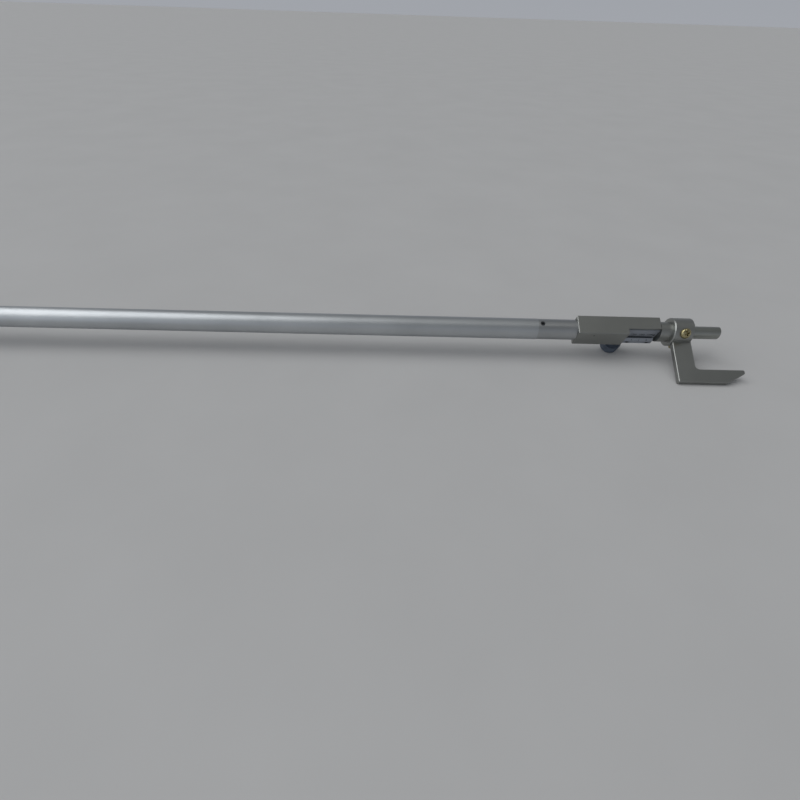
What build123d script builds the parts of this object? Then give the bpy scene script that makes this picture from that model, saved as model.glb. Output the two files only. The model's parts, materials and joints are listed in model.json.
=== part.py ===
from build123d import *
import math
import os

# Wheelset back-to-back gauge: a long tube with an L-shaped hook and a round probe at each end.
# The hook at +X slides in a square housing, is read on a vernier in a window there and is
# locked by a knurled knob. Millimetres.
# Every piece is drawn about the bar's axis: +X along the bar to the sliding end, -Y the way
# the hooks point, +Z out of the housing's upper face. The whole gauge is then rolled about the
# bar and lifted, so that it lies on the outer edges of both hooks and on the rim of the knob.

# Span from probe face to probe face with the slide at rest, and the slide's stroke from there
span_at_rest = 1345.0
stroke_out = 25.0
stroke_in = 0.0
stop_spare = 0.3

# Fits, each as a radial clearance, and the gap left where one piece presses on another
slide_fit = 0.03
seat_fit = 0.02
stud_fit = 0.03
touch_gap = 0.05

# Tube and the turned adaptors in its ends
tube_radius = 12.5
tube_wall = 2.0
adaptor_step = 0.3
adaptor_shoulder = 49.5
adaptor_spigot = 40.0
tail_radius = 8.0
tail_length = 50.0
tail_hole_spare = 2.0

# Grub screw that holds a tail in its adaptor
grub_radius = 3.0
grub_from_tube = 5.2
grub_sink = 0.5
grub_socket_across = 3.0
grub_socket_depth = 2.0

# Square housing of the slide
housing_wall = 1.47
housing_length = 104.6
housing_edge = 0.6
rod_radius = 11.0
bore_edge = 0.4
plug_gap = 1.0

# Window: open at the housing's +X end, deeper above the scale than under the vernier
window_from_left = 63.0
window_above_flat = 0.2
vernier_above_scale = 1.9

# Cross pin through housing and plug
pin_from_left = 20.9
pin_height = 6.6
pin_radius = 1.0
pin_sink = 0.3

# Sliding rod: milled flat, key slot, collar outside the housing, stepped nose
flat_from_slot = 0.35
flat_past_housing = 0.4
flat_past_window = 3.0
slot_side_gap = 0.15
slot_depth = 3.0
slot_end_wall = 3.0
housing_to_boss = 14.7
collar_radius = 12.0

# Scale plate on the rod's flat
scale_thickness = 1.0
scale_side_inset = 1.4
scale_end_gap = 0.8
scale_screw_inset = 3.0
scale_screw_radius = 0.8
scale_screw_head = 1.5
scale_screw_length = 4.0

# Vernier plate beside it, held in two short slots
vernier_thickness = 2.4
vernier_top = -3.8
vernier_bevel_height = 3.4
vernier_edge = 0.3
vernier_left_gap = 3.0
vernier_right_gap = 2.0
vernier_bottom_gap = 0.3
vernier_slot_length = 6.4
vernier_slot_width = 3.0
vernier_slot_depth = 0.9
vernier_slot_rim = 0.5
vernier_screw_inset = 5.6
vernier_screw_rise = 2.1
vernier_screw_radius = 1.0
vernier_screw_head = 1.45
vernier_screw_grip = 1.1

# Lock: threaded bush, stud, brass pad and knurled knob
knob_from_left = 60.0
pad_radius = 3.5
pad_past_rod = 0.1
bush_radius = 7.0
bush_height = 6.0
bush_spigot_radius = 5.0
bush_rod_gap = 0.2
stud_radius = 3.0
knob_radius = 12.0
knob_gap = 1.5
knob_height = 14.0
knob_hub_radius = 8.5
knob_hub_height = 3.0
knob_edge = 0.8
knob_dish_radius = 8.0
knob_dish_depth = 0.8
stud_in_knob = 11.0
knurl_count = 36
knurl_depth = 0.5

# Hooks: round boss with a flat L-shaped plate
boss_radius = 17.0
boss_length = 25.0
boss_edge = 1.0
plate_thickness = 6.4
plate_edge = 0.5
leg_from_inner = 2.4
leg_width = 25.9
leg_probe_gap = 1.5
arm_outer = 71.5
arm_width = 17.7
overhang = 21.6
tip_height = 5.0
tip_cut = 22.6
inner_fillet = 5.5
tip_fillet = 1.8
heel_fillet = 1.5

# Round probes, pressed into the rods' noses
probe_radius = 7.6
probe_length = 40.0
probe_edge = 1.0
probe_tail_radius = 4.0
probe_tail_length = 14.0

# Pan-head screws that lock each hook on its rod
hook_screw_angle = 38.0
hook_screws_apart = 90.0
hook_screw_from_inner = 13.0
hook_screw_radius = 3.0
hook_screw_head = 6.2
hook_screw_head_height = 4.5
hook_screw_seat_sink = 0.4
hook_screw_seat_spare = 0.5

# Collar between the fixed adaptor and the fixed hook
fixed_collar = 10.0

# Places along the bar
probe_face_x = span_at_rest / 2
boss_outer_x = probe_face_x - probe_length
boss_inner_x = boss_outer_x - boss_length
housing_right_x = boss_inner_x - housing_to_boss
housing_left_x = housing_right_x - housing_length
window_left_x = housing_left_x + window_from_left
tube_right_x = housing_left_x - adaptor_shoulder
fixed_adaptor_x = -(boss_inner_x - fixed_collar)
tube_left_x = fixed_adaptor_x + adaptor_shoulder
knob_x = housing_left_x + knob_from_left

# Sizes that follow from the others
adaptor_radius = tube_radius - adaptor_step
arm_inner = arm_outer - arm_width
leg_under_probe = probe_radius + leg_probe_gap
hook_reach = boss_length + probe_length + overhang
hook_screw_seat = boss_radius - hook_screw_seat_sink
bore_radius = rod_radius + slide_fit
half_side = bore_radius + housing_wall
housing_side = 2 * half_side
slot_half_width = pad_radius + slot_side_gap
slot_floor = rod_radius - slot_depth
slot_left_x = knob_x - stroke_out - stop_spare
slot_right_x = knob_x + stroke_in + stop_spare
rod_inner_x = slot_left_x - slot_half_width - slot_end_wall
plug_right_x = rod_inner_x - stroke_in - plug_gap
flat_right_x = housing_right_x + flat_past_housing
flat_left_x = window_left_x - stroke_out - flat_past_window
flat_depth = slot_half_width + flat_from_slot
window_floor = flat_depth + window_above_flat
scale_face = flat_depth + scale_thickness
scale_half_width = rod_radius - scale_side_inset
vernier_ledge = scale_face + vernier_above_scale
vernier_face = vernier_ledge + vernier_thickness
vernier_screw_height = half_side - vernier_screw_rise
knob_top = half_side + bush_height + knob_gap
knob_face = knob_top + knob_height
pad_top = rod_radius + pad_past_rod


def along_x(radius, x_from, x_to):
    """Round bar on the gauge's axis."""
    return Pos((x_from + x_to) / 2, 0, 0) * Rot(0, 90, 0) * Cylinder(radius, x_to - x_from)


def upright(radius, z_from, z_to):
    """Round bar on the Z axis."""
    return Pos(0, 0, (z_from + z_to) / 2) * Cylinder(radius, z_to - z_from)


def block(x_from, x_to, y_from, y_to, z_from, z_to):
    """Box between two corners."""
    centre = Pos((x_from + x_to) / 2, (y_from + y_to) / 2, (z_from + z_to) / 2)
    return centre * Box(x_to - x_from, y_to - y_from, z_to - z_from)


def end_circles(shape, x):
    """Circular edges of a turned piece that lie in the plane at x."""
    circles = shape.edges().filter_by(GeomType.CIRCLE)
    return circles.filter_by(lambda edge: abs(edge.center().X - x) < 1e-4)


def outer_circle(shape, x):
    """Largest of the circular edges in the plane at x."""
    return end_circles(shape, x).sort_by(lambda edge: edge.radius)[-1]


def main_tube():
    wall = along_x(tube_radius, tube_left_x, tube_right_x)
    hollow = along_x(tube_radius - tube_wall, tube_left_x, tube_right_x)
    return wall - hollow


def grub_x(mouth_x, side):
    """Place of the grub screw beside the tube's end; side is +1 at the sliding end."""
    return mouth_x - side * (adaptor_shoulder - grub_from_tube)


def end_adaptor(mouth_x, side):
    """Turned sleeve: shoulder outside the tube, spigot inside it, blind hole for a tail."""
    tube_end_x = mouth_x - side * adaptor_shoulder
    spigot_end_x = tube_end_x - side * adaptor_spigot
    hole_end_x = mouth_x - side * (tail_length + tail_hole_spare)
    shoulder = along_x(adaptor_radius, *sorted((mouth_x, tube_end_x)))
    spigot = along_x(tube_radius - tube_wall - seat_fit, *sorted((tube_end_x, spigot_end_x)))
    tail_hole = along_x(tail_radius + seat_fit, *sorted((mouth_x, hole_end_x)))
    screw_hole = upright(grub_radius + seat_fit, 0, adaptor_radius)
    return shoulder + spigot - tail_hole - Pos(grub_x(mouth_x, side), 0, 0) * screw_hole


def grub_screw(mouth_x, side):
    """Socket grub screw standing on the tail."""
    top = adaptor_radius - grub_sink
    screw = upright(grub_radius, tail_radius + touch_gap, top)
    hexagon = RegularPolygon(grub_socket_across / 2, 6, major_radius=False)
    socket = Pos(0, 0, top - grub_socket_depth) * extrude(hexagon, grub_socket_depth)
    return Pos(grub_x(mouth_x, side), 0, 0) * (screw - socket)


def housing_plug():
    """Plug in the housing's left end, with the tail that the adaptor holds."""
    plug = along_x(bore_radius - seat_fit, housing_left_x, plug_right_x)
    tail = along_x(tail_radius, housing_left_x - tail_length, housing_left_x)
    return plug + tail - cross_pin_hole()


def cross_pin_hole():
    """Hole for the cross pin, square to the front face and above the bar's axis."""
    hole = Rot(90, 0, 0) * Cylinder(pin_radius + seat_fit, housing_side)
    return Pos(housing_left_x + pin_from_left, 0, pin_height) * hole


def cross_pin():
    pin = Rot(90, 0, 0) * Cylinder(pin_radius, housing_side - 2 * pin_sink)
    return Pos(housing_left_x + pin_from_left, 0, pin_height) * pin


def slide_housing():
    """Square bar, bored for the rod and milled away at the window."""
    body = block(housing_left_x, housing_right_x, -half_side, half_side, -half_side, half_side)
    body = chamfer(body.edges(), housing_edge)
    body -= along_x(bore_radius, housing_left_x, housing_right_x)
    mouth_x = housing_right_x - bore_edge / 2
    body -= Pos(mouth_x, 0, 0) * Rot(0, 90, 0) * Cone(bore_radius, bore_radius + bore_edge, bore_edge)
    past_end_x = housing_right_x + housing_edge
    body -= block(window_left_x, past_end_x, -housing_side, -vernier_ledge, -half_side, half_side)
    body -= block(window_left_x, past_end_x, -housing_side, -window_floor, 0, half_side)
    body -= cross_pin_hole()
    body -= Pos(knob_x, 0, 0) * upright(bush_spigot_radius + seat_fit, -half_side, 0)
    for x in vernier_screw_places():
        body -= vernier_screw_hole(x)
    return body


def vernier_ends():
    """Left and right end of the vernier plate."""
    return window_left_x + vernier_left_gap, housing_right_x - vernier_right_gap


def vernier_screw_places():
    left_x, right_x = vernier_ends()
    return left_x + vernier_screw_inset, right_x - vernier_screw_inset


def facing_front(x, y, z, shape):
    """Turns a shape drawn upwards to face -Y, with its foot at the given point."""
    return Pos(x, y, z) * Rot(90, 0, 0) * shape


def vernier_screw_hole(x):
    hole = upright(vernier_screw_radius + seat_fit, -vernier_screw_grip - touch_gap, vernier_thickness)
    return facing_front(x, -vernier_ledge, -vernier_screw_height, hole)


def vernier_plate():
    """Plate on the ledge, bevelled down towards the scale along its upper edge."""
    left_x, right_x = vernier_ends()
    bottom = -half_side + vernier_bottom_gap
    section = Polygon(
        (-vernier_ledge, bottom),
        (-vernier_face, bottom),
        (-vernier_face, vernier_top - vernier_bevel_height),
        (-vernier_ledge - vernier_edge, vernier_top),
        (-vernier_ledge, vernier_top),
        align=None,
    )
    plate = Pos(left_x, 0, 0) * extrude(Plane.YZ * section, right_x - left_x, dir=(1, 0, 0))
    for x in vernier_screw_places():
        recess = SlotOverall(vernier_slot_length, vernier_slot_width)
        recess = extrude(recess, vernier_slot_depth)
        slot = SlotOverall(vernier_slot_length - 2 * vernier_slot_rim, 2 * (vernier_screw_radius + touch_gap))
        slot = extrude(slot, vernier_thickness)
        plate -= facing_front(x, -vernier_face + vernier_slot_depth, -vernier_screw_height, recess)
        plate -= facing_front(x, -vernier_ledge, -vernier_screw_height, slot)
    return plate


def vernier_screws():
    """Two small screws, sunk in the plate's slots."""
    seat = vernier_thickness - vernier_slot_depth
    head = upright(vernier_screw_head, seat, vernier_thickness)
    shank = upright(vernier_screw_radius, -vernier_screw_grip, seat)
    screw = head + shank
    places = vernier_screw_places()
    return Compound([facing_front(x, -vernier_ledge, -vernier_screw_height, screw) for x in places])


def slide_rod():
    """Round rod with the flat for the scale, the key slot, a collar and a stepped nose."""
    rod = along_x(rod_radius, rod_inner_x, flat_right_x)
    rod += along_x(collar_radius, flat_right_x, boss_inner_x)
    rod += along_x(tail_radius, boss_inner_x, boss_outer_x)
    rod -= block(flat_left_x, flat_right_x, -2 * rod_radius, -flat_depth, -rod_radius, rod_radius)
    slot = SlotCenterToCenter(slot_right_x - slot_left_x, 2 * slot_half_width)
    slot = Pos((slot_left_x + slot_right_x) / 2, 0, -2 * rod_radius) * slot
    rod -= extrude(slot, 2 * rod_radius - slot_floor)
    rod -= probe_hole()
    for x in scale_screw_places():
        hole = upright(scale_screw_radius + seat_fit, -scale_screw_length - touch_gap, 0)
        rod -= facing_front(x, -flat_depth, 0, hole)
    return rod


def probe_hole():
    depth = probe_tail_length + touch_gap
    return along_x(probe_tail_radius + seat_fit, boss_outer_x - depth, boss_outer_x)


def scale_ends():
    return flat_left_x + scale_end_gap, flat_right_x - scale_end_gap


def scale_screw_places():
    left_x, right_x = scale_ends()
    return left_x + scale_screw_inset, right_x - scale_screw_inset


def countersunk(clearance):
    """Small countersunk screw drawn upwards, its head flush with the scale plate."""
    head_height = scale_screw_head - scale_screw_radius
    wide = scale_screw_head + clearance
    narrow = scale_screw_radius + clearance
    head = Pos(0, 0, scale_thickness - head_height / 2) * Cone(narrow, wide, head_height)
    return head + upright(narrow, -scale_screw_length, scale_thickness - head_height)


def scale_plate():
    left_x, right_x = scale_ends()
    plate = block(left_x, right_x, -scale_face, -flat_depth, -scale_half_width, scale_half_width)
    for x in scale_screw_places():
        plate -= facing_front(x, -flat_depth, 0, countersunk(seat_fit))
    return plate


def scale_plate_screws():
    return Compound([facing_front(x, -flat_depth, 0, countersunk(0)) for x in scale_screw_places()])


def clamp_pad():
    """Brass pad between the stud and the floor of the rod's key slot."""
    return Pos(knob_x, 0, 0) * upright(pad_radius, -pad_top, -slot_floor - touch_gap)


def clamp_bush():
    """Threaded bush let into the housing's lower wall."""
    flange = upright(bush_radius, -half_side - bush_height, -half_side)
    spigot = upright(bush_spigot_radius, -half_side, -rod_radius - bush_rod_gap)
    hole = upright(stud_radius + stud_fit, -housing_side, 0)
    return Pos(knob_x, 0, 0) * (flange + spigot - hole)


def lock_stud():
    return Pos(knob_x, 0, 0) * upright(stud_radius, -knob_top - stud_in_knob, -pad_top - touch_gap)


def lock_knob():
    """Knurled knob: hub towards the housing, knurled rim with a plain lip, dished face."""
    hub = upright(knob_hub_radius, -knob_top - knob_hub_height, -knob_top)
    rim_top = knob_top + knob_hub_height
    rim = upright(knob_radius - knob_edge, -knob_face, -rim_top)
    tooth = math.pi / knurl_count
    corners = []
    for i in range(2 * knurl_count):
        radius = knob_radius - knurl_depth * (i % 2)
        angle = i * tooth - math.pi / 2
        corners.append((radius * math.cos(angle), radius * math.sin(angle)))
    knurl_width = knob_face - rim_top - knob_edge
    knurl = Pos(0, 0, -knob_face + knob_edge) * extrude(Polygon(*corners, align=None), knurl_width)
    dish = upright(knob_dish_radius, -knob_face, -knob_face + knob_dish_depth)
    stud_hole = upright(stud_radius + seat_fit, -knob_top - stud_in_knob - touch_gap, -knob_top)
    return Pos(knob_x, 0, 0) * (rim + knurl + hub - dish - stud_hole)


def corner(sketch, x, y):
    return sketch.vertices().sort_by_distance((x, y, 0))[0]


def hook_outline():
    """L-shaped plate with a slanted tip, set a little out from the boss's inner face."""
    outline = Polygon(
        (leg_from_inner, 0),
        (leg_from_inner, -arm_outer),
        (hook_reach - tip_cut, -arm_outer),
        (hook_reach, -arm_inner - tip_height),
        (hook_reach, -arm_inner),
        (leg_width, -arm_inner),
        (leg_width, -leg_under_probe),
        (boss_length, -leg_under_probe),
        (boss_length, 0),
        align=None,
    )
    outline = fillet(corner(outline, leg_width, -arm_inner), inner_fillet)
    outline = fillet(corner(outline, leg_from_inner, -arm_outer), heel_fillet)
    outline = fillet(corner(outline, hook_reach - tip_cut, -arm_outer), heel_fillet)
    outline = fillet(corner(outline, hook_reach, -arm_inner - tip_height), tip_fillet)
    return fillet(corner(outline, hook_reach, -arm_inner), tip_fillet)


def hook_screw_angles():
    """The screws stand square to each other, one on each side of the plate."""
    return hook_screw_angle, hook_screw_angle + hook_screws_apart


def hook():
    """Hook of the sliding end, drawn in place."""
    plate = extrude(hook_outline(), plate_thickness / 2, both=True)
    broad_faces = plate.faces().sort_by(Axis.Z)
    plate = chamfer(broad_faces[0].edges() + broad_faces[-1].edges(), plate_edge)
    boss = along_x(boss_radius, 0, boss_length)
    boss = chamfer(boss.edges().filter_by(GeomType.CIRCLE), boss_edge)
    shape = boss + plate - along_x(tail_radius + seat_fit, 0, boss_length)
    seat = upright(hook_screw_head + hook_screw_seat_spare, hook_screw_seat, boss_radius)
    hole = upright(hook_screw_radius + seat_fit, 0, boss_radius)
    for angle in hook_screw_angles():
        shape -= Pos(hook_screw_from_inner, 0, 0) * Rot(angle, 0, 0) * (seat + hole)
    return Pos(boss_inner_x, 0, 0) * shape


def pan_screw():
    """Pan-head screw, its head's seat at height 0."""
    head = upright(hook_screw_head, 0, hook_screw_head_height)
    shank = upright(hook_screw_radius, tail_radius + touch_gap - hook_screw_seat, 0)
    return head + shank


def hook_screws():
    """Two screws that lock the sliding hook on the rod's nose."""
    screw_x = boss_inner_x + hook_screw_from_inner
    screw = Pos(0, 0, hook_screw_seat) * pan_screw()
    return Compound([Pos(screw_x, 0, 0) * Rot(a, 0, 0) * screw for a in hook_screw_angles()])


def probe():
    """Hardened probe with a flat measuring face and a tail in the rod's nose."""
    shape = along_x(probe_radius, boss_outer_x, probe_face_x)
    shape = chamfer(outer_circle(shape, probe_face_x), probe_edge)
    return shape + along_x(probe_tail_radius, boss_outer_x - probe_tail_length, boss_outer_x)


def fixed_rod():
    """Short rod of the fixed end: tail in the adaptor, collar, nose in the hook."""
    tail = along_x(tail_radius, fixed_adaptor_x, fixed_adaptor_x + tail_length)
    collar = along_x(collar_radius, -boss_inner_x, fixed_adaptor_x)
    nose = along_x(tail_radius, -boss_outer_x, -boss_inner_x)
    return tail + collar + nose - to_fixed_end(probe_hole())


def to_fixed_end(shape):
    """Mirror image at the other end of the bar."""
    return mirror(shape, about=Plane.YZ)


nodes = {
    "main_tube": main_tube(),
    "slide_end_adaptor": end_adaptor(housing_left_x, 1),
    "slide_end_grub_screw": grub_screw(housing_left_x, 1),
    "fixed_end_adaptor": end_adaptor(fixed_adaptor_x, -1),
    "fixed_end_grub_screw": grub_screw(fixed_adaptor_x, -1),
    "fixed_rod": fixed_rod(),
    "fixed_hook": to_fixed_end(hook()),
    "fixed_hook_screws": to_fixed_end(hook_screws()),
    "fixed_probe": to_fixed_end(probe()),
    "slide_housing": slide_housing(),
    "housing_plug": housing_plug(),
    "housing_cross_pin": cross_pin(),
    "vernier_plate": vernier_plate(),
    "vernier_screws": vernier_screws(),
    "clamp_bush": clamp_bush(),
    "clamp_pad": clamp_pad(),
    "lock_stud": lock_stud(),
    "lock_knob": lock_knob(),
    "slide_rod": slide_rod(),
    "scale_plate": scale_plate(),
    "scale_plate_screws": scale_plate_screws(),
    "sliding_hook": hook(),
    "sliding_hook_screws": hook_screws(),
    "sliding_probe": probe(),
}

# Roll at which the hooks' outer edges and the knob's rim lie in one level plane
roll = math.degrees(
    math.atan2(
        knob_face - plate_thickness / 2,
        arm_outer - plate_edge - knob_radius + knob_edge,
    )
)
rolled = {name: Rot(roll, 0, 0) * shape for name, shape in nodes.items()}
box = Compound(list(rolled.values())).bounding_box()
to_ground = Pos(-box.center().X, -box.center().Y, -box.min.Z)

os.makedirs("parts", exist_ok=True)
for name, shape in rolled.items():
    export_step(to_ground * shape, f"parts/{name}.step")
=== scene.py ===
import json
import math

import bmesh
import bpy
from mathutils import Matrix, Vector


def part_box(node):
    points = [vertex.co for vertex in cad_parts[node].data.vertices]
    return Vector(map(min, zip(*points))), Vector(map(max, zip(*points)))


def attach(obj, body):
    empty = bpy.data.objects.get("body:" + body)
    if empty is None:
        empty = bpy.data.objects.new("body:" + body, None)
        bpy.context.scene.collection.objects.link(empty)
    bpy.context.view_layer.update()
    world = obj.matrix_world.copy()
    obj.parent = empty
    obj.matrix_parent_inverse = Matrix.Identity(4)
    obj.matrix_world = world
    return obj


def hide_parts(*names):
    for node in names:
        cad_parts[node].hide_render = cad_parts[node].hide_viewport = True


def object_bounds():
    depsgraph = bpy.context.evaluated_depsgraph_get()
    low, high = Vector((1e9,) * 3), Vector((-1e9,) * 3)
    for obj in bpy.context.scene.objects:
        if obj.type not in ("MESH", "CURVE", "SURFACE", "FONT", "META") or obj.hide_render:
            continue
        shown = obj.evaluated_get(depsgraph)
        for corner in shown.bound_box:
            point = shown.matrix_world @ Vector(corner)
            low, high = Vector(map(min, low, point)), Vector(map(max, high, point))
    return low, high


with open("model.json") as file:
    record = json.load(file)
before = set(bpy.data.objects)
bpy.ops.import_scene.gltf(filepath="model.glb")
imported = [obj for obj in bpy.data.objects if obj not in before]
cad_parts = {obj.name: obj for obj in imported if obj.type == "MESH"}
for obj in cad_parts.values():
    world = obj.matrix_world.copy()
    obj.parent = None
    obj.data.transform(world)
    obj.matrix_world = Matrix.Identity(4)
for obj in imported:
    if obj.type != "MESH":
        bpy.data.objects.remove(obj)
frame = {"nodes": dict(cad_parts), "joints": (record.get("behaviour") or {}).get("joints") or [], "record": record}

cad_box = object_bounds()
MM = 0.001
DIRECTION_X = Vector((1.0, 0.0, 0.0))
DIRECTION_Z = Vector((0.0, 0.0, 1.0))

# The gauge's own axes.
# Local millimetres: X along the bar, -Y the way the hooks point, Z out of the housing's upper face,
# against the direction of the knob's axis.
joints = {joint["name"]: joint for joint in frame["joints"]}
up = -Vector(joints["lock_knob_turn"]["axis"])
tube_low, tube_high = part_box("main_tube")
bar_centre = (tube_low + tube_high) / 2
place = Matrix((
    (1.0, 0.0, 0.0, 0.0),
    (0.0, up.z, up.y, bar_centre.y),
    (0.0, -up.y, up.z, bar_centre.z),
    (0.0, 0.0, 0.0, 1.0),
))

# Materials.
NOISE_LOW, NOISE_HIGH = 0.3, 0.7
EVEN = (1.0, 1.0, 1.0)
METAL_BUMP = 0.35
PAINT_BUMP = 0.3
PAINT_METALLIC = 0.35


class Nodes:
    """A small builder for one material's nodes."""

    def __init__(self, name):
        self.material = bpy.data.materials.new(name)
        self.material.use_nodes = True
        self.tree = self.material.node_tree
        self.tree.nodes.clear()
        self.out = self.tree.nodes.new("ShaderNodeOutputMaterial")
        self.shader = self.tree.nodes.new("ShaderNodeBsdfPrincipled")
        self.link(self.shader.outputs["BSDF"], self.out.inputs["Surface"])
        self.coord = self.tree.nodes.new("ShaderNodeTexCoord")

    def link(self, output, socket):
        self.tree.links.new(output, socket)

    def noise(self, stretch, scale, detail, roughness=0.55):
        """Noise over object coordinates that are stretched along each axis."""
        mapping = self.tree.nodes.new("ShaderNodeMapping")
        mapping.inputs["Scale"].default_value = stretch
        self.link(self.coord.outputs["Object"], mapping.inputs["Vector"])
        node = self.tree.nodes.new("ShaderNodeTexNoise")
        node.inputs["Scale"].default_value = scale
        node.inputs["Detail"].default_value = detail
        node.inputs["Roughness"].default_value = roughness
        self.link(mapping.outputs["Vector"], node.inputs["Vector"])
        return node.outputs["Fac"]

    def colour(self, value, dark, light):
        """Base colour from dark to light over the range where noise mostly lies."""
        node = self.tree.nodes.new("ShaderNodeValToRGB")
        first, last = node.color_ramp.elements
        first.position, first.color = NOISE_LOW, (*dark, 1.0)
        last.position, last.color = NOISE_HIGH, (*light, 1.0)
        self.link(value, node.inputs["Fac"])
        self.link(node.outputs["Color"], self.shader.inputs["Base Color"])

    def roughness(self, value, rough):
        """Roughness from rough[0] to rough[1] over the range where noise mostly lies."""
        node = self.tree.nodes.new("ShaderNodeMapRange")
        node.inputs["From Min"].default_value = NOISE_LOW
        node.inputs["From Max"].default_value = NOISE_HIGH
        node.inputs["To Min"].default_value = rough[0]
        node.inputs["To Max"].default_value = rough[1]
        self.link(value, node.inputs["Value"])
        self.link(node.outputs["Result"], self.shader.inputs["Roughness"])

    def bump(self, height, strength, distance):
        node = self.tree.nodes.new("ShaderNodeBump")
        node.inputs["Strength"].default_value = strength
        node.inputs["Distance"].default_value = distance
        self.link(height, node.inputs["Height"])
        self.link(node.outputs["Normal"], self.shader.inputs["Normal"])


def metal(name, dark, light, rough, grain, grain_scale, depth, blotch=14.0, metallic=1.0):
    """Worked metal: colour varies in soft blotches, roughness and bump follow the tool marks.
    grain is how far the marks are squeezed along each axis."""
    n = Nodes(name)
    n.colour(n.noise(EVEN, blotch, detail=3.0), dark, light)
    marks = n.noise(grain, grain_scale, detail=5.0, roughness=0.6)
    n.roughness(marks, rough)
    n.bump(marks, METAL_BUMP, depth)
    n.shader.inputs["Metallic"].default_value = metallic
    return n.material


def painted(name, dark, light, rough, scale, depth):
    """Blacked steel or ink: dark, slightly uneven, with a fine tooth."""
    n = Nodes(name)
    soft = n.noise(EVEN, scale, detail=5.0)
    n.colour(soft, dark, light)
    n.roughness(soft, rough)
    n.bump(soft, PAINT_BUMP, depth)
    n.shader.inputs["Metallic"].default_value = PAINT_METALLIC
    return n.material


finish = {
    "tube_aluminium": metal("drawn_aluminium", (0.48, 0.50, 0.515), (0.55, 0.57, 0.585), (0.40, 0.50),
                            (3.0, 60.0, 60.0), 30.0, 0.00006),
    "turned_aluminium": metal("turned_aluminium", (0.40, 0.412, 0.42), (0.46, 0.472, 0.48), (0.34, 0.44),
                              (90.0, 2.0, 2.0), 40.0, 0.00006),
    "satin_steel": metal("satin_plated_steel", (0.295, 0.302, 0.288), (0.34, 0.347, 0.332), (0.34, 0.44),
                         (20.0, 20.0, 20.0), 60.0, 0.00005),
    "probe_steel": metal("ground_steel", (0.31, 0.322, 0.30), (0.35, 0.362, 0.34), (0.28, 0.38),
                         (80.0, 3.0, 3.0), 40.0, 0.00005),
    # Plate steel with a painted reflection. Its blue tint and extra lightness stand in for bluish light reflected
    # up into these downward-facing faces; the rest is the steel's own colour.
    "scale_steel": metal("scale_plate_steel_painted_blue_reflection", (0.30, 0.325, 0.37), (0.36, 0.385, 0.43), (0.34, 0.44),
                         (3.0, 70.0, 70.0), 40.0, 0.00003, metallic=0.6),
    "yellow_zinc": metal("yellow_zinc", (0.30, 0.255, 0.13), (0.52, 0.46, 0.27), (0.12, 0.24),
                         (30.0, 30.0, 30.0), 30.0, 0.00004, blotch=300.0),
    "black_steel": painted("black_steel", (0.03, 0.032, 0.035), (0.05, 0.053, 0.058), (0.35, 0.50),
                           300.0, 0.00005),
    # Knob: blacked steel, but its base is lightened and blued well past black_steel. This is painted fill light
    # that stands in for the light reaching the knob in its shade.
    "knob_black": painted("blacked_knob_painted_fill_light", (0.10, 0.125, 0.168), (0.15, 0.18, 0.23), (0.36, 0.48),
                          200.0, 0.00006),
    "brass": metal("brass", (0.55, 0.40, 0.18), (0.66, 0.50, 0.24), (0.25, 0.35),
                   (20.0, 20.0, 20.0), 60.0, 0.00004),
}
ink = painted("engraving_ink", (0.004, 0.0045, 0.006), (0.010, 0.011, 0.014), (0.55, 0.70), 900.0, 0.00002)

for part in frame["record"]["subparts"]:
    materials = frame["nodes"][part["node"]].data.materials
    materials.clear()
    materials.append(finish[part["material_slot"]])


# Pieces, all made in local millimetres.
WELD = 0.001


def scene_object(name, bm):
    """Puts a bmesh into the scene as an object, and frees it."""
    mesh = bpy.data.meshes.new(name)
    bm.to_mesh(mesh)
    bm.free()
    obj = bpy.data.objects.new(name, mesh)
    bpy.context.scene.collection.objects.link(obj)
    return obj


def evaluated_mesh(obj):
    """A copy of an object's mesh as its curve or modifiers give it."""
    bpy.context.view_layer.update()
    return bpy.data.meshes.new_from_object(obj.evaluated_get(bpy.context.evaluated_depsgraph_get()))


def take_in(bm, mesh):
    """Adds a mesh to a bmesh and removes the mesh."""
    bm.from_mesh(mesh)
    bpy.data.meshes.remove(mesh)


def piece(name, bm, material, body):
    """Turns a bmesh in local millimetres into a piece that rides on a CAD body."""
    bmesh.ops.remove_doubles(bm, verts=bm.verts, dist=WELD)
    bmesh.ops.transform(bm, matrix=place @ Matrix.Scale(MM, 4), verts=bm.verts)
    bmesh.ops.recalc_face_normals(bm, faces=bm.faces)
    obj = scene_object(name, bm)
    obj.data.materials.append(material)
    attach(obj, body)
    return obj


# Graduations and numbers.
# Thin raised ink, partly sunk into its plate.
INK_HEIGHT = 0.02
BOLDER = 0.02
CURVE_STEPS = 3
FIRST_READING = 1350

SCALE_OUT = Vector((0.0, -1.0, 0.0))
SCALE_FACE_Y = -5.0
SCALE_TICK_FOOT_Z = -5.6
SCALE_TICK_WIDTH = 0.15
SCALE_TICK_TEN = 2.9
SCALE_TICK_FIVE = 2.4
SCALE_TICK_ONE = 1.9
SCALE_END_MARGIN = 1.5
SCALE_NUMBER_Z = 0.4
SCALE_NUMBER_SIZE = 3.9
NUMBER_END_MARGIN = 3

VERNIER_BEVEL_TOP = Vector((0.0, -7.2, -3.8))
VERNIER_BEVEL_FOOT = Vector((0.0, -9.3, -7.2))
VERNIER_ZERO_FROM_END = 9.4
VERNIER_STEP = 1.9
VERNIER_STEPS = 10
VERNIER_TICK_WIDTH = 0.20
VERNIER_TICK_LONG = 1.7
VERNIER_TICK_SHORT = 1.2
VERNIER_TICK_INSET = 0.05
VERNIER_NUMBER_INSET = 2.8
VERNIER_NUMBER_SIZE = 2.5

scale_low, scale_high = (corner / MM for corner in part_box("scale_plate"))
vernier_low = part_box("vernier_plate")[0] / MM
zero_x = vernier_low.x + VERNIER_ZERO_FROM_END


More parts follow.
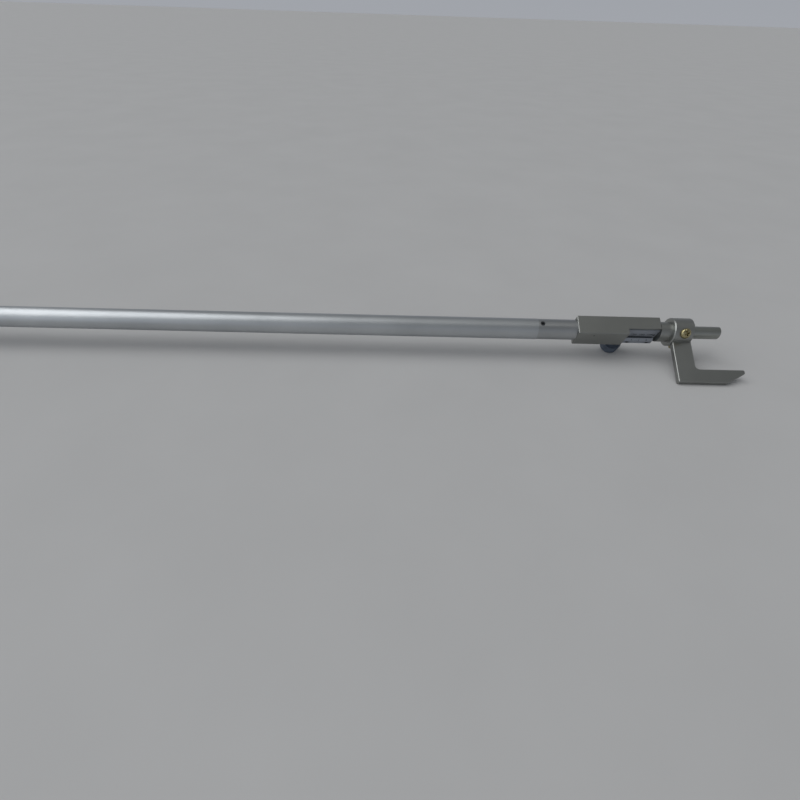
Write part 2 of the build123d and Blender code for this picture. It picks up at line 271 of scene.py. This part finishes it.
def tick(bm, start, end, width, out):
    """A thin closed bar from start to end on a face whose outward direction is out."""
    side = (end - start).normalized().cross(out) * (width / 2)
    foot = -out * INK_HEIGHT * 0.5
    top = out * INK_HEIGHT
    corners = [bm.verts.new(p + s + o) for p in (start, end) for o in (foot, top) for s in (-side, side)]
    for ring in ((0, 1, 3, 2), (4, 6, 7, 5), (0, 4, 5, 1), (2, 3, 7, 6), (0, 2, 6, 4), (1, 5, 7, 3)):
        bm.faces.new([corners[i] for i in ring])


def number(bm, value, size, centre, upward):
    """A plain number in the built-in font, reading along X, with its top towards upward."""
    curve = bpy.data.curves.new("numeral", "FONT")
    curve.body = str(value)
    curve.size = size
    curve.align_x = "CENTER"
    curve.align_y = "CENTER"
    curve.extrude = INK_HEIGHT
    curve.offset = size * BOLDER
    curve.resolution_u = CURVE_STEPS
    numeral = bpy.data.objects.new("numeral", curve)
    bpy.context.scene.collection.objects.link(numeral)
    mesh = evaluated_mesh(numeral)
    out = DIRECTION_X.cross(upward)
    mesh.transform(Matrix((
        (DIRECTION_X.x, upward.x, out.x, centre.x),
        (DIRECTION_X.y, upward.y, out.y, centre.y),
        (DIRECTION_X.z, upward.z, out.z, centre.z),
        (0.0, 0.0, 0.0, 1.0),
    )))
    bpy.data.objects.remove(numeral)
    bpy.data.curves.remove(curve)
    take_in(bm, mesh)


def scale_tick_length(step):
    """Long marks at the tens, middling ones at the fives."""
    if step % 10 == 0:
        return SCALE_TICK_TEN
    if step % 5 == 0:
        return SCALE_TICK_FIVE
    return SCALE_TICK_ONE


def scale_graduations():
    """Millimetre marks and plain readings on the plate that moves with the rod."""
    bm = bmesh.new()
    first = math.ceil(scale_low.x + SCALE_END_MARGIN - zero_x)
    last = math.floor(scale_high.x - SCALE_END_MARGIN - zero_x)
    for step in range(first, last + 1):
        foot = Vector((zero_x + step, SCALE_FACE_Y, SCALE_TICK_FOOT_Z))
        tick(bm, foot, foot + DIRECTION_Z * scale_tick_length(step), SCALE_TICK_WIDTH, SCALE_OUT)
        if step % 10 == 0 and first + NUMBER_END_MARGIN < step < last - NUMBER_END_MARGIN:
            centre = Vector((foot.x, SCALE_FACE_Y, SCALE_NUMBER_Z))
            number(bm, FIRST_READING + step, SCALE_NUMBER_SIZE, centre, DIRECTION_Z)
    piece("scale_graduations", bm, ink, "slider")


def vernier_graduations():
    """Ten vernier divisions in 19 mm along the plate's bevel, numbered at both ends and in the middle."""
    bm = bmesh.new()
    downhill = (VERNIER_BEVEL_FOOT - VERNIER_BEVEL_TOP).normalized()
    out = DIRECTION_X.cross(-downhill)
    for step in range(VERNIER_STEPS + 1):
        edge = VERNIER_BEVEL_TOP + DIRECTION_X * (zero_x + VERNIER_STEP * step)
        start = edge + downhill * VERNIER_TICK_INSET
        numbered = step % 5 == 0
        length = VERNIER_TICK_LONG if numbered else VERNIER_TICK_SHORT
        tick(bm, start, start + downhill * length, VERNIER_TICK_WIDTH, out)
        if numbered:
            number(bm, step, VERNIER_NUMBER_SIZE, start + downhill * VERNIER_NUMBER_INSET, -downhill)
    piece("vernier_graduations", bm, ink, "bar")


scale_graduations()
vernier_graduations()

# Cross-recessed screws.
# Two on each hook. Seat and foot are how far the head's underside and the shank's end are from the bar's
# axis. The other heights are measured from the seat.
SCREW_ANGLES = (38.0, 128.0)
SCREW_SEAT = 16.6
SCREW_FOOT = 8.05
SCREW_RADIUS = 3.0
SCREW_SEGMENTS = 40
HEAD_RADIUS = 6.2
HEAD_SIDE = 1.5
HEAD_HEIGHT = 4.5
DOME_STEPS = 8
RECESS_LENGTH = 7.4
RECESS_WIDTH = 1.7
RECESS_DEPTH = 2.8
RECESS_FLOOR_SHARE = 0.5
RECESS_TURNS = (22.0, 112.0)
RECESS_OVERCUT = 0.5


def turned(profile, segments):
    """A closed turned solid about Z from its (radius, height) profile, which starts and ends on the axis."""
    bm = bmesh.new()
    angles = [2 * math.pi * i / segments for i in range(segments)]
    rings = []
    for radius, height in profile:
        around = angles if radius else angles[:1]
        rings.append([bm.verts.new((radius * math.cos(a), radius * math.sin(a), height)) for a in around])
    for one, two in zip(rings, rings[1:]):
        for i in range(segments):
            j = (i + 1) % segments
            if len(one) == 1:
                bm.faces.new((one[0], two[i], two[j]))
            elif len(two) == 1:
                bm.faces.new((one[i], two[0], one[j]))
            else:
                bm.faces.new((one[i], two[i], two[j], one[j]))
    bmesh.ops.recalc_face_normals(bm, faces=bm.faces)
    return bm


def recess_arm():
    """One arm of a cross recess: a bar that gets shorter from its top to its floor."""
    bm = bmesh.new()
    floor_height = HEAD_HEIGHT - RECESS_DEPTH
    top_height = HEAD_HEIGHT + RECESS_OVERCUT
    corners = []
    for height, share in ((floor_height, RECESS_FLOOR_SHARE), (top_height, 1.0)):
        for sx, sy in ((-1, -1), (1, -1), (1, 1), (-1, 1)):
            corners.append(bm.verts.new((sx * RECESS_LENGTH * share / 2, sy * RECESS_WIDTH / 2, height)))
    for ring in ((3, 2, 1, 0), (4, 5, 6, 7), (0, 1, 5, 4), (1, 2, 6, 5), (2, 3, 7, 6), (3, 0, 4, 7)):
        bm.faces.new([corners[i] for i in ring])
    bmesh.ops.recalc_face_normals(bm, faces=bm.faces)
    return bm


def screw_profile():
    """Half section of a pan-head screw with its seat at height 0."""
    foot = SCREW_FOOT - SCREW_SEAT
    profile = [(0.0, foot), (SCREW_RADIUS, foot), (SCREW_RADIUS, 0.0), (HEAD_RADIUS, 0.0)]
    for i in range(DOME_STEPS):
        angle = i * math.pi / 2 / DOME_STEPS
        height = HEAD_SIDE + (HEAD_HEIGHT - HEAD_SIDE) * math.sin(angle)
        profile.append((HEAD_RADIUS * math.cos(angle), height))
    profile.append((0.0, HEAD_HEIGHT))
    return profile


def cross_screw():
    """Pan-head screw with a cross recess, its seat at height 0, as a mesh."""
    screw = scene_object("screw_blank", turned(screw_profile(), SCREW_SEGMENTS))
    arms = []
    for angle in RECESS_TURNS:
        arm = scene_object("recess_arm", recess_arm())
        arm.rotation_euler = (0, 0, math.radians(angle))
        cut = screw.modifiers.new("recess", "BOOLEAN")
        cut.operation = "DIFFERENCE"
        cut.solver = "EXACT"
        cut.object = arm
        arms.append(arm)
    mesh = evaluated_mesh(screw)
    for obj in (screw, *arms):
        bpy.data.objects.remove(obj)
    return mesh


def hook_screws(node, name, body):
    """Both screws of one hook, in place of their plain CAD solids."""
    low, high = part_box(node)
    to_boss = Matrix.Translation(((low.x + high.x) / 2 / MM, 0, 0))
    to_seat = Matrix.Translation((0, 0, SCREW_SEAT))
    bm = bmesh.new()
    for angle in SCREW_ANGLES:
        mesh = cross_screw()
        mesh.transform(to_boss @ Matrix.Rotation(math.radians(angle), 4, "X") @ to_seat)
        take_in(bm, mesh)
    obj = piece(name, bm, finish["yellow_zinc"], body)
    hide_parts(node)


hook_screws("sliding_hook_screws", "sliding_hook_cross_screws", "slider")
hook_screws("fixed_hook_screws", "fixed_hook_cross_screws", "bar")

# Floor.
# A wide pale sheet just under the gauge.
FLOOR_HALF_SIZE = 30.0
FLOOR_CELLS = 8
FLOOR_GAP = 0.0002
FLOOR_CLOUD = 6.0
FLOOR_ROUGHNESS = 0.7

floor_bm = bmesh.new()
bmesh.ops.create_grid(floor_bm, x_segments=FLOOR_CELLS, y_segments=FLOOR_CELLS, size=FLOOR_HALF_SIZE)
floor = scene_object("floor", floor_bm)
floor.location = (0.0, 0.0, cad_box[0][2] - FLOOR_GAP)
pale = Nodes("pale_floor")
pale.colour(pale.noise(EVEN, FLOOR_CLOUD, detail=4.0), (0.585, 0.58, 0.575), (0.61, 0.605, 0.60))
pale.shader.inputs["Roughness"].default_value = FLOOR_ROUGHNESS
floor.data.materials.append(pale.material)


# Light.
def lamp(name, comes_from, width, strength, colour):
    """A far, soft studio lamp: its direction, how wide it looks in degrees, and its strength."""
    light = bpy.data.lights.new(name, "SUN")
    light.angle = math.radians(width)
    light.energy = strength
    light.color = colour
    obj = bpy.data.objects.new(name, light)
    bpy.context.scene.collection.objects.link(obj)
    obj.rotation_euler = (-Vector(comes_from)).to_track_quat("-Z", "Y").to_euler()


lamp("left_key", (-0.67, -0.06, 0.74), 58.0, 1.32, (0.97, 0.985, 1.0))
lamp("overhead", (0.10, 0.10, 0.99), 50.0, 0.12, (1.0, 1.0, 0.99))
lamp("strip", (0.22, -0.27, 0.94), 8.0, 0.035, (1.0, 0.99, 0.95))
lamp("low_front", (-0.66, -0.71, 0.25), 36.0, 0.14, (0.85, 0.92, 1.0))

# The room is dim overhead, and paler and a little bluer towards the walls.
world = bpy.data.worlds.new("studio")
bpy.context.scene.world = world
world.use_nodes = True
room = world.node_tree
towards = room.nodes.new("ShaderNodeTexCoord")
parts = room.nodes.new("ShaderNodeSeparateXYZ")
shade = room.nodes.new("ShaderNodeValToRGB")
room.links.new(towards.outputs["Generated"], parts.inputs["Vector"])
room.links.new(parts.outputs["Z"], shade.inputs["Fac"])
room.links.new(shade.outputs["Color"], room.nodes["Background"].inputs["Color"])
walls, ceiling = shade.color_ramp.elements
walls.position, walls.color = 0.0, (0.355, 0.372, 0.405, 1.0)
ceiling.position, ceiling.color = 1.0, (0.13, 0.134, 0.133, 1.0)
room.nodes["Background"].inputs["Strength"].default_value = 1.0

# Camera.
# The photograph's view: where the lens is in the shared frame, how it is turned in radians, and its focal
# length in pixels of the 800-pixel picture, with the height at which its axis meets the picture.
LENS_AT = Vector((261.43, -482.63, 311.54)) * MM
YAW, PITCH, ROLL = 0.0208, 0.8230, -0.0341
FOCAL_PX, AXIS_PX, FRAME_PX = 429.06, 468.04, 800.0

ahead = Vector((math.sin(YAW), math.cos(YAW), 0.0))
level = Vector((math.cos(YAW), -math.sin(YAW), 0.0))
forward = ahead * math.cos(PITCH) - DIRECTION_Z * math.sin(PITCH)
unrolled = -DIRECTION_Z * math.cos(PITCH) - ahead * math.sin(PITCH)
right = level * math.cos(ROLL) + unrolled * math.sin(ROLL)
below = unrolled * math.cos(ROLL) - level * math.sin(ROLL)
lens = bpy.data.cameras.new("camera")
lens.sensor_width = 36.0
lens.lens = FOCAL_PX / FRAME_PX * lens.sensor_width
lens.shift_y = (AXIS_PX - FRAME_PX / 2) / FRAME_PX
lens.clip_start = 0.01
lens.clip_end = 200.0
camera = bpy.data.objects.new("camera", lens)
bpy.context.scene.collection.objects.link(camera)
camera.matrix_world = Matrix((
    (right.x, -below.x, -forward.x, LENS_AT.x),
    (right.y, -below.y, -forward.y, LENS_AT.y),
    (right.z, -below.z, -forward.z, LENS_AT.z),
    (0.0, 0.0, 0.0, 1.0),
))
bpy.context.scene.camera = camera
bpy.context.scene.view_settings.view_transform = "Standard"
